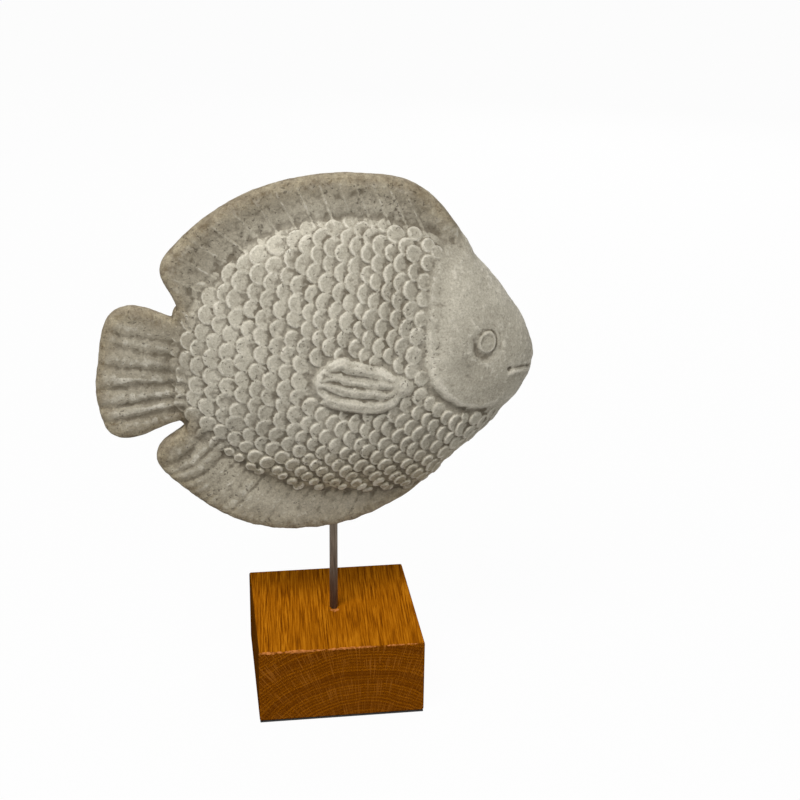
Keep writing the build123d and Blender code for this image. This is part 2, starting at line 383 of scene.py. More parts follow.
# the pectoral fin's leaf, which the scales leave free, as shares
leafShares = [
    (0.196, 0.472), (0.163, 0.478), (0.128, 0.496), (0.087, 0.504), (0.050, 0.515), (0.023, 0.537),
    (-0.009, 0.540), (-0.038, 0.520), (-0.052, 0.488), (-0.043, 0.447), (-0.010, 0.412),
    (0.036, 0.396), (0.088, 0.403), (0.132, 0.428), (0.165, 0.446), (0.200, 0.444),
]


def sidePoint(share):
    sizes = fishSizes
    return (share[0] * sizes["length"], sizes["bottom"] + share[1] * sizes["height"])


def inside(x, z, outline):
    # is the side-view point within the closed outline
    found = False
    for (ax, az), (bx, bz) in zip(outline, outline[1:] + outline[:1]):
        if (az > z) != (bz > z) and x < (bx - ax) * (z - az) / (bz - az) + ax:
            found = not found
    return found


def smoothStep(low, high, value):
    share = min(max((value - low) / (high - low), 0), 1)
    return share * share * (3 - 2 * share)


def makeScaleDisc():
    # one scale: a thick disc with a rounded rim and a flat face
    sizes = fishSizes
    deselectAll()
    radius, depth = sizes["scaleRadius"], sizes["scaleDepth"]
    bpy.ops.mesh.primitive_cylinder_add(vertices=sizes["scaleSides"], radius=radius,
                                        depth=depth, location=(0, 0, -depth / 2))
    disc = bpy.context.object
    disc.name = "scaleDisc"
    bpy.ops.object.mode_set(mode="EDIT")
    bpy.ops.mesh.select_mode(type="FACE")
    bpy.ops.mesh.select_all(action="DESELECT")
    bpy.ops.object.mode_set(mode="OBJECT")
    for face in disc.data.polygons:
        face.select = face.normal.z > 0.9
    bpy.ops.object.mode_set(mode="EDIT")
    bpy.ops.mesh.inset(thickness=radius * 0.06, depth=radius * 0.06)
    bpy.ops.mesh.inset(thickness=radius * 0.10, depth=0)
    bpy.ops.mesh.inset(thickness=radius * 0.10, depth=radius * -0.015)
    bpy.ops.object.mode_set(mode="OBJECT")
    bpy.ops.object.transform_apply(location=True, rotation=True, scale=True)
    return disc


def domeReach():
    # how far the dome reaches from its centre in each direction of the side view
    table = np.array([(sidePoint((a, b))[0], sidePoint((a, b))[1], sidePoint((a, c))[1])
                      for a, b, c in domeShares])
    cx, cz = fishSizes["centre"]
    reach = []
    for degree in range(361):
        angle = math.radians(degree)
        length = 0.01
        while length < 0.2:
            x, z = cx + length * math.cos(angle), cz + length * math.sin(angle)
            if x < table[0, 0] or x > table[-1, 0]:
                break
            if z < np.interp(x, table[:, 0], table[:, 1]):
                break
            if z > np.interp(x, table[:, 0], table[:, 2]):
                break
            length += 0.0005
        reach.append(length)
    return np.array(reach)


def wrapTable():
    # the arc length over the dome for each radius seen from the side, as shares of its reach
    flatness = 0.36
    radius = np.linspace(0, 0.995, 400)
    slope = np.sqrt(1 + flatness ** 2 * radius ** 2 / (1 - radius ** 2))
    arc = np.concatenate([[0], np.cumsum((slope[1:] + slope[:-1]) / 2 * np.diff(radius))])
    return radius, arc


def scalePlaces():
    # columns of scales in the side view, every other one half a step lower
    sizes = fishSizes
    cx, cz = sizes["centre"]
    field = [sidePoint(share) for share in scaleFieldShares]
    leaf = [sidePoint(share) for share in leafShares]
    rim = scaleFieldShares + scaleFieldShares[:1]
    reach = domeReach()
    radius, arc = wrapTable()
    places = []
    column = 0
    u, lastColumn = sizes["columns"]
    lowest, highest = sizes["rows"]
    while u > lastColumn:
        forward = smoothStep(-0.07, 0.02, u)
        height = lowest + (column % 2) * sizes["scalePitch"] / 2
        while height < highest:
            # a column curls towards the tail below the bend, and leans a little forward above it
            x = u - cx
            z = height
            over = z - sizes["bendLevel"]
            if over < 0:
                x -= 0.36 * over ** 2 / sizes["bendReach"]
                lean = 0.72 * -over / sizes["bendReach"]
            else:
                x += 0.16 * over
                lean = 0.16
            loose = (sizes["looseness"] + 0.0007 * smoothStep(0.0, -0.08, u)
                     + 0.0007 * smoothStep(0.04, 0.08, height))
            x += random.uniform(-1, 1) * loose
            z += random.uniform(-1, 1) * loose
            distance = math.hypot(x, z)
            angle = math.degrees(math.atan2(z, x)) % 360
            edge = np.interp(angle, range(361), reach)
            share = distance / edge
            if share < arc[-1]:
                squeezed = np.interp(share, arc, radius) * edge / max(distance, 0.0001)
                px, pz = cx + x * squeezed, cz + z * squeezed
                if inside(px, pz, field) and not inside(px, pz, leaf):
                    flat = np.array([[px, pz]])
                    border = float(distanceTo(rim, flat)[0])
                    if distanceTo(leafShares[1:-1], flat)[0] > sizes["leafMargin"]:
                        places.append((px, pz, lean, forward, share, border))
            height += sizes["scalePitch"]
        u -= sizes["rearStep"] + (sizes["frontStep"] - sizes["rearStep"]) * forward
        column += 1
    return places


def addScales(cast, tree):
    # the disc is copied over both flanks, tilted so that its tail side stands proud
    sizes = fishSizes
    disc = makeScaleDisc()
    places = scalePlaces()
    copies = []
    for side in (-1, 1):
        for px, pz, lean, forward, share, border in places:
            start = Vector((px, side * 0.1, pz))
            point, normal = tree.ray_cast(start, Vector((0, -side, 0)))[:2]
            if point is None or point.y * side < 0.004:
                continue
            turn = Matrix.Rotation(random.gauss(0, 0.12), 3, "Y")
            out = turn @ Vector((-1, 0, lean)).normalized()
            out = (out - normal * out.dot(normal)).normalized()
            across = normal.cross(out).normalized()
            # flatter at the throat and the border, smaller low down, beads at the belly's edge
            low = smoothStep(0.185, 0.150, pz)
            throat = smoothStep(0.86, 0.98, share) * smoothStep(0.035, 0.065, px)
            throat *= smoothStep(0.20, 0.18, pz)
            fade = smoothStep(0.0, 0.012, border) if pz > 0.2 else 1.0
            relief = (0.5 + 0.5 * max(forward, low)) * (1 - 0.55 * throat) * (0.2 + 0.8 * fade)
            bead = smoothStep(0.011, 0.004, border) if pz < 0.165 and px < 0.07 else 0.0
            tilt = math.radians(sizes["scaleTilt"]) * relief * random.uniform(0.75, 1.25)
            tilt *= 1 - 0.6 * bead
            tailward = out * math.cos(tilt) + normal * math.sin(tilt)
            upright = normal * math.cos(tilt) - out * math.sin(tilt)
            size = random.uniform(*sizes["scaleSpread"]) * (1.05 - 0.05 * forward - 0.27 * low)
            size *= 0.85 + 0.15 * fade
            size *= 1 - 0.22 * bead
            size *= 1 - 0.15 * smoothStep(0.040, 0.052, px) * smoothStep(0.17, 0.19, pz)
            lift = 0.00055 * relief * random.uniform(0.7, 1.3) + 0.0004 * low
            lift = lift * (1 - throat) - 0.0003 * throat
            lift += (0.0002 * smoothStep(0.032, 0.046, px) * smoothStep(0.19, 0.21, pz)
                     + 0.0005 * bead)
            tall = 1.0 + 0.06 * forward + 0.10 * low
            place = Matrix((tailward * size / tall, across * size * tall, upright))
            place = place.transposed().to_4x4()
            place.translation = point + normal * lift
            copy = disc.copy()
            copy.data = disc.data.copy()
            copy.data.transform(place)
            if place.determinant() < 0:
                copy.data.flip_normals()
            bpy.context.scene.collection.objects.link(copy)
            copies.append(copy)
    deselectAll()
    for copy in copies:
        copy.select_set(True)
    cast.select_set(True)
    bpy.context.view_layer.objects.active = cast
    bpy.ops.object.join()
    bpy.data.objects.remove(disc)
    print("scales placed:", len(copies))


def widenBore(cast):
    # the sleeve's cavity and the rod's neck get a little more room
    sizes = fishSizes
    low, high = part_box("rod_sleeve")
    points = pointsOf(cast)
    height = points[:, 2]
    fromAxis = np.hypot(points[:, 0], points[:, 1])
    near, far = sizes["boreWall"]
    slack = 0.0002
    bore = (fromAxis < far) & (fromAxis > near)
    bore &= (height > low.z - slack) & (height < high.z + slack)
    neck = (fromAxis < near) & (fromAxis > 0.0001) & (height < low.z + slack)
    points[bore, :2] *= (sizes["boreRadius"] / fromAxis[bore])[:, None]
    points[neck, :2] *= (sizes["neckRadius"] / fromAxis[neck])[:, None]
    setPoints(cast, points)


# the pectoral fin's rolls: centre line as shares, radius at each point, height over the skin (mm)
flankRolls = [
    ([(-0.030, 0.510), (-0.005, 0.522), (0.020, 0.517), (0.043, 0.504), (0.069, 0.492),
      (0.098, 0.486), (0.136, 0.478)], [3.8, 5.6, 6.2, 6.0, 5.6, 4.8, 2.8], 0.35),
    ([(-0.038, 0.492), (-0.010, 0.498), (0.020, 0.487), (0.044, 0.477), (0.069, 0.469),
      (0.098, 0.468), (0.136, 0.468)], [3.8, 5.8, 6.4, 6.2, 5.8, 5.4, 3.6], 0.5),
    ([(-0.040, 0.471), (-0.017, 0.466), (0.001, 0.458), (0.027, 0.449), (0.054, 0.443),
      (0.078, 0.442), (0.105, 0.448), (0.138, 0.460)],
     [3.8, 5.6, 6.6, 6.8, 6.4, 6.0, 5.4, 3.6], 0.55),
    ([(-0.034, 0.451), (-0.017, 0.438), (0.010, 0.425), (0.036, 0.418), (0.061, 0.416),
      (0.087, 0.420), (0.112, 0.431), (0.140, 0.450)],
     [4.4, 6.4, 7.2, 7.4, 7.0, 6.4, 5.4, 3.0], 0.65),
    ([(0.110, 0.464), (0.140, 0.464), (0.168, 0.463), (0.196, 0.462)], [4.6, 6.4, 5.0, 2.2], 0.5),
    ([(-0.016, 0.519), (-0.036, 0.507), (-0.044, 0.488), (-0.040, 0.464), (-0.024, 0.444)],
     [2.4, 2.8, 3.0, 2.8, 2.4], 0.45),
]
# the solid's mouth slit is filled first, and pressed in again more softly
slitFiller = ([(0.398, 0.474), (0.416, 0.469), (0.434, 0.463), (0.448, 0.459), (0.459, 0.455)],
              [2.2] * 5, 0.1)

# bands pressed into both flanks: centre line as shares, half width and depth (mm); a depth
# below zero is a ridge
gillLine = [
    (0.196, 0.610), (0.189, 0.570), (0.189, 0.529), (0.194, 0.486), (0.210, 0.447), (0.238, 0.413),
    (0.268, 0.389), (0.302, 0.372), (0.336, 0.367), (0.364, 0.368),
]
gillCrest = [
    (0.216, 0.600), (0.212, 0.560), (0.214, 0.524), (0.226, 0.474), (0.252, 0.426), (0.283, 0.398),
    (0.313, 0.387), (0.340, 0.385), (0.362, 0.388),
]
mouthLine = [(0.396, 0.482), (0.411, 0.481), (0.427, 0.479), (0.443, 0.474), (0.466, 0.462)]
lowerLip = [(0.394, 0.467), (0.411, 0.468), (0.430, 0.466), (0.450, 0.460)]
flankBands = [
    (gillLine[1:-1], 3.4, 0.95), (gillLine[4:-2], 2.2, 0.6), (gillCrest[3:], 2.6, -0.55),
    (mouthLine, 1.3, 0.65), (mouthLine[:1], 1.3, 1.4), (lowerLip, 1.8, -0.6),
    ([(0.300, 0.500), (0.292, 0.515)], 8.0, 0.8), ([(0.300, 0.630), (0.318, 0.606)], 1.6, -0.3),
    ([(0.300, 0.830), (0.256, 0.800), (0.234, 0.752), (0.226, 0.693), (0.220, 0.620),
      (0.220, 0.570)], 6.5, 0.9),
]
# the dorsal fin's field is filled up towards its rim
dorsalField = [
    (-0.300, 0.700), (-0.270, 0.790), (-0.200, 0.860), (-0.100, 0.915), (0.000, 0.928),
    (0.090, 0.925), (0.160, 0.903), (0.215, 0.860),
]
flankBands.append((dorsalField, 10.0, -0.55))
# valleys between the rays of the tail and of the anal fin
tailValleys = [
    ([(-0.350, 0.590), (-0.430, 0.602)], 2.2, 0.25),
    ([(-0.345, 0.553), (-0.440, 0.585), (-0.530, 0.600)], 2.4, 0.1),
    ([(-0.340, 0.522), (-0.430, 0.540), (-0.500, 0.570)], 2.2, 0.1),
    ([(-0.340, 0.481), (-0.560, 0.512)], 2.0, 0.5),
    ([(-0.340, 0.450), (-0.440, 0.452), (-0.560, 0.436)], 1.8, 0.7),
    ([(-0.340, 0.413), (-0.560, 0.381)], 2.0, 0.8),
    ([(-0.345, 0.380), (-0.560, 0.337)], 2.2, 0.5),
    ([(-0.380, 0.466), (-0.480, 0.480)], 1.5, 0.3),
    ([(-0.350, 0.431), (-0.520, 0.410)], 1.8, -0.3),
    ([(-0.350, 0.466), (-0.520, 0.472)], 1.6, -0.2),
    ([(-0.350, 0.397), (-0.520, 0.362)], 2.0, -0.25),
    ([(-0.360, 0.505), (-0.500, 0.530)], 2.2, -0.2),
]
analRays = [
    [(-0.284, 0.314), (-0.347, 0.237), (-0.436, 0.188)],
    [(-0.238, 0.262), (-0.296, 0.192), (-0.378, 0.149)],
    [(-0.218, 0.236), (-0.276, 0.154), (-0.352, 0.088)],
    [(-0.190, 0.216), (-0.250, 0.127), (-0.318, 0.051)],
    [(-0.162, 0.200), (-0.224, 0.114), (-0.291, 0.032)],
    [(-0.133, 0.187), (-0.198, 0.102), (-0.263, 0.008)],
    [(-0.095, 0.171), (-0.155, 0.085), (-0.217, -0.010)],
    [(-0.060, 0.161), (-0.110, 0.075), (-0.162, -0.022)],
    [(-0.024, 0.156), (-0.060, 0.065), (-0.107, -0.029)],
    [(0.022, 0.154), (-0.015, 0.064), (-0.054, -0.029)],
    [(0.065, 0.158), (0.029, 0.068), (-0.008, -0.023)],
    [(0.102, 0.166), (0.067, 0.081), (0.038, -0.010)],
    [(0.138, 0.176), (0.106, 0.096), (0.080, 0.014)],
]
analDepths = [0.5, 0.5, 0.3, 0.1, -0.1, -0.2, -0.3, -0.35, -0.35, -0.35, -0.35, -0.35, -0.3]
analValleys = [(ray, 2.2, deep) for ray, deep in zip(analRays, analDepths)]
for number, (before, after) in enumerate(zip(analRays, analRays[1:])):
    between = [((a + c) / 2, (b + d) / 2) for (a, b), (c, d) in zip(before, after)]
    analValleys.append((between, 1.5, 0.5 if number < 5 else 0.28))
# small corrections of the outline: centre line as shares, half width and push in metres
outlineNudges = [
    ([(0.300, 0.805), (0.325, 0.770), (0.372, 0.705)], 0.012, (0.0012, 0, 0.0010)),
    ([(0.446, 0.400), (0.414, 0.345), (0.391, 0.312), (0.359, 0.272), (0.320, 0.230),
      (0.280, 0.190)], 0.009, (-0.0014, 0, 0.0015)),
]
# faint ribs of the dorsal fin, root and tip as shares
dorsalRibs = [
    ((-0.285, 0.700), (-0.350, 0.738)), ((-0.260, 0.740), (-0.340, 0.797)),
    ((-0.230, 0.775), (-0.312, 0.842)), ((-0.195, 0.808), (-0.268, 0.880)),
    ((-0.158, 0.834), (-0.222, 0.915)), ((-0.120, 0.852), (-0.173, 0.942)),
    ((-0.082, 0.866), (-0.126, 0.962)), ((-0.044, 0.874), (-0.078, 0.970)),
    ((0.000, 0.878), (-0.030, 0.976)), ((0.042, 0.878), (0.012, 0.980)),
    ((0.084, 0.872), (0.048, 0.978)), ((0.128, 0.860), (0.088, 0.970)),
    ((0.168, 0.850), (0.126, 0.956)), ((0.206, 0.838), (0.166, 0.934)),
]


def layRolls(cast, table, gape=0.0):
    # each roll is a tube along the skin, half sunk in it, and joined to the casting
    tree = treeOf(cast)
    rolls = []
    for line, radii, proud in table:
        for side in (-1, 1):
            path = bpy.data.curves.new("roll", "CURVE")
            path.dimensions = "3D"
            path.bevel_depth = 1.0
            path.bevel_resolution = 3
            path.use_fill_caps = True
            path.resolution_u = 6
            spline = path.splines.new("NURBS")
            spline.points.add(len(line) - 1)
            for point, share, radius in zip(spline.points, line, radii):
                x, z = sidePoint(share)
                aim = Vector((0, -side, 0))
                spot, normal = tree.ray_cast(Vector((x, side * 0.1, z + gape)), aim)[:2]
                if gape:  # over a slit, halfway between its two lips
                    spot = (spot + tree.ray_cast(Vector((x, side * 0.1, z - gape)), aim)[0]) / 2
                taper = radius / max(radii)
                spot += normal * (proud * taper ** 2 - 0.6 * (1 - taper) - radius) * mm
                point.co = (*spot, 1)
                point.radius = radius * mm
            spline.order_u = 3
            spline.use_endpoint_u = True
            roll = bpy.data.objects.new("roll", path)
            bpy.context.scene.collection.objects.link(roll)
            rolls.append(roll)
    deselectAll()
    for roll in rolls:
        roll.select_set(True)
    bpy.context.view_layer.objects.active = rolls[0]
    bpy.ops.object.convert(target="MESH")
    cast.select_set(True)
    bpy.context.view_layer.objects.active = cast
    bpy.ops.object.join()


def distanceTo(line, flat):
    # distance of each side-view point to the line through the shares
    corners = [np.array(sidePoint(share)) for share in line]
    nearest = np.hypot(*(flat - corners[0]).T)
    for first, second in zip(corners, corners[1:]):
        along = second - first
        share = np.clip((flat - first) @ along / (along @ along), 0, 1)
        gap = flat - first - share[:, None] * along
        nearest = np.minimum(nearest, np.hypot(gap[:, 0], gap[:, 1]))
    return nearest


def pressBands(cast):
    # soft valleys and crests, and the eye's button in its hollow
    sizes = fishSizes
    points, normals = pointsOf(cast), normalsOf(cast)
    flat = points[:, [0, 2]]
    facing = np.clip((np.abs(normals[:, 1]) - 0.15) / 0.4, 0, 1)
    depth = np.zeros(len(points))
    for line, width, deep in flankBands:
        depth += deep * np.exp(-(distanceTo(line, flat) / (width * mm)) ** 2)
    notch = np.zeros(len(points))
    for line, width, deep in tailValleys + analValleys:
        width *= random.uniform(0.85, 1.25) * mm
        notch += deep * random.uniform(0.6, 1.05) * np.exp(-(distanceTo(line, flat) / width) ** 2)
    for rib in dorsalRibs:
        depth -= random.uniform(0.18, 0.36) * np.exp(-(distanceTo(rib, flat) / 0.0008) ** 2)
    across, up = (flat - np.array(sidePoint(sizes["eye"]))).T
    reach = np.hypot(across / 0.85, up) * 1000

    def ringAt(name):
        away, width = sizes[name]
        return np.exp(-((reach - away) / width) ** 2)

    spokes = np.maximum(np.hypot(across, up), 0.0001)
    below = np.clip(-(across * 0.6 + up * 0.8) / spokes, 0, 1)
    beside = np.clip((across * 0.94 + up * 0.34) / spokes, 0, 1)
    depth += (0.12 + 0.75 * below) * ringAt("eyeHollow")
    depth += 0.7 * beside * ringAt("eyeCrease")
    depth += 0.25 * beside * ringAt("eyeLid")
    away, width = sizes["eyeButton"]
    depth -= 0.5 / (1 + np.exp((reach - away) / width))
    depth -= 0.3 * ringAt("eyeRing")
    points -= normals * ((depth * facing + notch * (0.4 + 0.6 * facing)) * mm)[:, None]
    for line, width, push in outlineNudges:
        points += np.exp(-(distanceTo(line, flat) / width) ** 2)[:, None] * np.array(push)
    setPoints(cast, points)


def treeOf(piece):
    return BVHTree.FromPolygons([v.co.copy() for v in piece.data.vertices],
                                [tuple(p.vertices) for p in piece.data.polygons])


def soften(cast, chosen, rounds):
    group = cast.vertex_groups.new(name="soft")
    group.add([int(i) for i in np.nonzero(chosen)[0]], 1.0, "REPLACE")
    applyModifier(cast, "SMOOTH", factor=0.5, iterations=rounds, vertex_group="soft")
    cast.vertex_groups.clear()


def awayFromDome(points, halfLength):
    # distance from the dome's centre in the side view, 1 near its edge
    centre = fishSizes["centre"]
    return np.hypot((points[:, 0] - centre[0]) / halfLength, (points[:, 2] - centre[1]) / 0.088)


def softenCast(cast):
    # the fins' steps and grooves and the edges on the head are rubbed down
    points = pointsOf(cast)
    flat = points[:, [0, 2]]
    aside = np.abs(points[:, 1])
    fins = (aside < 0.0075) & (awayFromDome(points, 0.098) > 0.93) & (flat[:, 0] < 0.075)
    soften(cast, fins, 8)
    soften(cast, fins & (np.abs(normalsOf(cast)[:, 1]) > 0.75), 80)
    gill = [(0.285, 0.850), (0.212, 0.752), (0.198, 0.600)] + gillLine[2:]
    gill += [(0.412, 0.350), (0.445, 0.325)]
    soften(cast, (distanceTo(gill, flat) < 0.007) & (aside > 0.002), 70)
    head = np.hypot(*(flat - sidePoint(fishSizes["eye"])).T) < 0.012
    head |= distanceTo(mouthLine, flat) < 0.006
    head |= distanceTo(gill[-3:], flat) < 0.006
    soften(cast, head & (aside > 0.002), 250)
    soften(cast, distanceTo([(0.300, 0.800), (0.325, 0.770)], flat) < 0.010, 60)
    flank = aside > 0.01
    soften(cast, (distanceTo([(0.000, 0.480), (0.100, 0.455)], flat) < 0.016) & flank, 50)
    soften(cast, (distanceTo([(0.146, 0.460), (0.166, 0.461)], flat) < 0.010) & flank, 200)


def roughen(cast):
    # slow and quick unevenness of a hand-made mould
    for size, strength in fishSizes["unevenness"]:
        clouds = bpy.data.textures.new("clouds", "CLOUDS")
        clouds.noise_scale = size
        clouds.noise_depth = 2
        applyModifier(cast, "DISPLACE", texture=clouds, texture_coords="LOCAL",
                      strength=strength, mid_level=0.55)


def makeFish():
    sizes = fishSizes
    cast = copyOfNode("fish_body", "fishCasting")
    widenBore(cast)
    layRolls(cast, [slitFiller], 0.0022)
    coarse = sizes["voxel"] * sizes["firstCoarseness"]
    applyModifier(cast, "REMESH", mode="VOXEL", voxel_size=coarse)
    softenCast(cast)
    skin = treeOf(cast)
    layRolls(cast, flankRolls)
    addScales(cast, skin)
    applyModifier(cast, "REMESH", mode="VOXEL", voxel_size=sizes["voxel"], use_smooth_shade=True)
    applyModifier(cast, "SMOOTH", factor=0.5, iterations=1)
    faces = len(cast.data.polygons) * 2
    print("fish faces after remesh:", faces)
    pressBands(cast)
    roughen(cast)
    applyModifier(cast, "DECIMATE", ratio=min(1, sizes["triangles"] / faces))
    low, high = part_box("fish_body")
    setPoints(cast, np.clip(pointsOf(cast), np.array(low), np.array(high)))

    # for the colours: how far each point stands out, where the fins are and where their rims
    edges = edgesOf(cast)
    points = pointsOf(cast)
    normals = normalsOf(cast)
    out = np.sum((points - spread(points, edges, 4)) * normals, axis=1)
    storeAttribute(cast, "relief", out / sizes["reliefDepth"])
    away = awayFromDome(points, 0.094)
    rim = (np.abs(normals[:, 1]) < 0.6) & (away > 1.04) & (points[:, 0] < 0.07)
    thin = (away > 1.0) & (points[:, 0] < 0.075) & (np.abs(points[:, 1]) < 0.0085)
    storeAttribute(cast, "fin", spread(thin[:, None], edges, 25)[:, 0])
    near = spread(rim[:, None], edges, 50)[:, 0] * sizes["rimWidth"]
    storeAttribute(cast, "finRim", np.clip(near, 0, 1))
    smoothShade(cast)
    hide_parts("fish_body")
    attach(cast, "fish")
    return cast


fish = makeFish()
print("fish made")


# the casting's finish; colours are as read off a screen, two where they cloud
concreteLooks = {
    "body": ((150, 144, 129), (184, 178, 162)),
    "fins": ((122, 114, 97), (158, 150, 132)),
    # a warm painted shade, multiplied in low on the belly
    "bellyShade": (232, 222, 200),
    "rims": ((96, 80, 54), (150, 138, 112)),
    "blotches": (92, 76, 52),
    # pale wear with a painted highlight on the crests
    "crestWearAndHighlight": (214, 208, 193),
    # dirt with painted shade in the hollows
    "hollowDirtAndShade": (88, 79, 64),
    "pits": (74, 66, 54),
    "roughness": 0.88,
    "shine": 0.3,
    "bump": (0.6, 0.0005),
}


def concreteMaterial():
    looks = concreteLooks
    material, tree, shader, place = newMaterial("castConcrete", looks["roughness"])
    split = separate(tree, place)

    def calc(operation, first, second=0.0):
        return maths(tree, operation, first, second)

    def attribute(name):
        return addNode(tree, "Attribute", attribute_name=name).outputs["Fac"]

    relief, finRim, fin = attribute("relief"), attribute("finRim"), attribute("fin")

    # clouded grey, darker on the fins, and a browner painted shade low on the belly
    cloud = noise(tree, place, 26, 4, 0.6)
    colour = ramp(tree, cloud, (0.30, 0.70), looks["body"])
    finGrey = ramp(tree, cloud, (0.35, 0.65), looks["fins"])
    colour = blendColours(tree, calc("MULTIPLY", fin, 0.8), colour, finGrey)
    bellyShade = ramp(tree, calc("MULTIPLY", split["Z"], 4), (0.56, 0.68), (0.8, 0))
    bellyShade = calc("MULTIPLY", bellyShade, calc("SUBTRACT", 1.0, fin))
    colour = blendColours(tree, bellyShade, colour, linear(*looks["bellyShade"]), "MULTIPLY")

    # stains and blotches along the fins' rims
    stain = ramp(tree, noise(tree, place, 140, 4, 0.7), (0.36, 0.62), looks["rims"])
    colour = blendColours(tree, calc("MULTIPLY", finRim, 0.8), colour, stain)
    blotch = ramp(tree, noise(tree, place, 230, 4, 0.75), (0.50, 0.66), (0, 0.7))
    blotch = calc("MULTIPLY", blotch, calc("MINIMUM", calc("MULTIPLY", finRim, 1.4), 1.0))
    colour = blendColours(tree, blotch, colour, linear(*looks["blotches"]))

    # pale worn crests with a painted highlight, and dirt with painted shade in the hollows, both
    # in patches
    patches = noise(tree, place, 85, 3, 0.65)
    stained = calc("MINIMUM", calc("MULTIPLY", finRim, 1.2), 0.85)
    # crests lightened: partly wear, partly painted highlight
    crestWearAndHighlightShare = ramp(tree, relief, (0.35, 1.0), (0, 1))
    crestWearAndHighlightShare = calc("MULTIPLY", crestWearAndHighlightShare, calc("SUBTRACT", 1.0, stained))
    crestWearAndHighlightShare = calc("MULTIPLY", crestWearAndHighlightShare, ramp(tree, patches, (0.38, 0.60), (0.25, 0.62)))
    colour = blendColours(tree, crestWearAndHighlightShare, colour, linear(*looks["crestWearAndHighlight"]))
    # hollows darkened: partly dirt, partly painted shade
    dark = ramp(tree, calc("MULTIPLY", relief, -1), (0.15, 0.9), (0, 1))
    dark = calc("MULTIPLY", dark, ramp(tree, patches, (0.38, 0.60), (0.85, 0.45)))
    colour = blendColours(tree, dark, colour, linear(*looks["hollowDirtAndShade"]))

    # sandy grain, and air pits, fewer of them on the face
    grain = noise(tree, place, 900, 3, 0.7)
    sand = ramp(tree, grain, (0.3, 0.7), (0.28, 0.70))
    colour = blendColours(tree, 0.55, colour, sand, "OVERLAY")
    flock = ramp(tree, noise(tree, place, 60, 3, 0.7), (0.50, 0.68), (0, 0.12))
    pit = calc("ADD", noise(tree, place, 620, 1, 0.4), flock)
    face = ramp(tree, calc("MULTIPLY", split["X"], 5), (0.24, 0.34), (1, 0.35))
    pit = calc("MULTIPLY", ramp(tree, pit, (0.70, 0.76), (0, 1)), face)
    colour = blendColours(tree, calc("MULTIPLY", pit, 0.6), colour, linear(*looks["pits"]))
    tree.links.new(colour, shader.inputs["Base Color"])
    shader.inputs["Specular IOR Level"].default_value = looks["shine"]

    lumps = calc("MULTIPLY", noise(tree, place, 260, 5, 0.7), 1.8)
    height = calc("SUBTRACT", calc("MULTIPLY", grain, 0.25), pit)
    addBump(tree, shader, calc("ADD", height, lumps), *looks["bump"])
    return material


# the block's finish: the rings' heart line and step, the grain's lean in degrees, the colours
oakLooks = {
    "heart": (0.014, -0.050),
    "ring": 0.0021,
    "wobble": 0.012,
    "lean": -3,
    "longGrain": ((90, 44, 0), (141, 80, 4), (176, 110, 18)),
    "longBands": (140, 80, 6),
    # painted shade on the block's left side
    "leftSideShade": (60, 30, 4),
    "endGrain": ((104, 52, 0), (160, 94, 6), (130, 72, 2)),
    "endBands": (96, 48, 2),
    "pores": (74, 34, 0),
    "rays": (150, 92, 30),
    "torn": (192, 122, 66),
    "tornEdge": -0.0001,
    "chip": 0.0026,
    "chipPlace": -0.0046,
    "roughness": 0.62,
    "bump": (0.4, 0.0003),
}


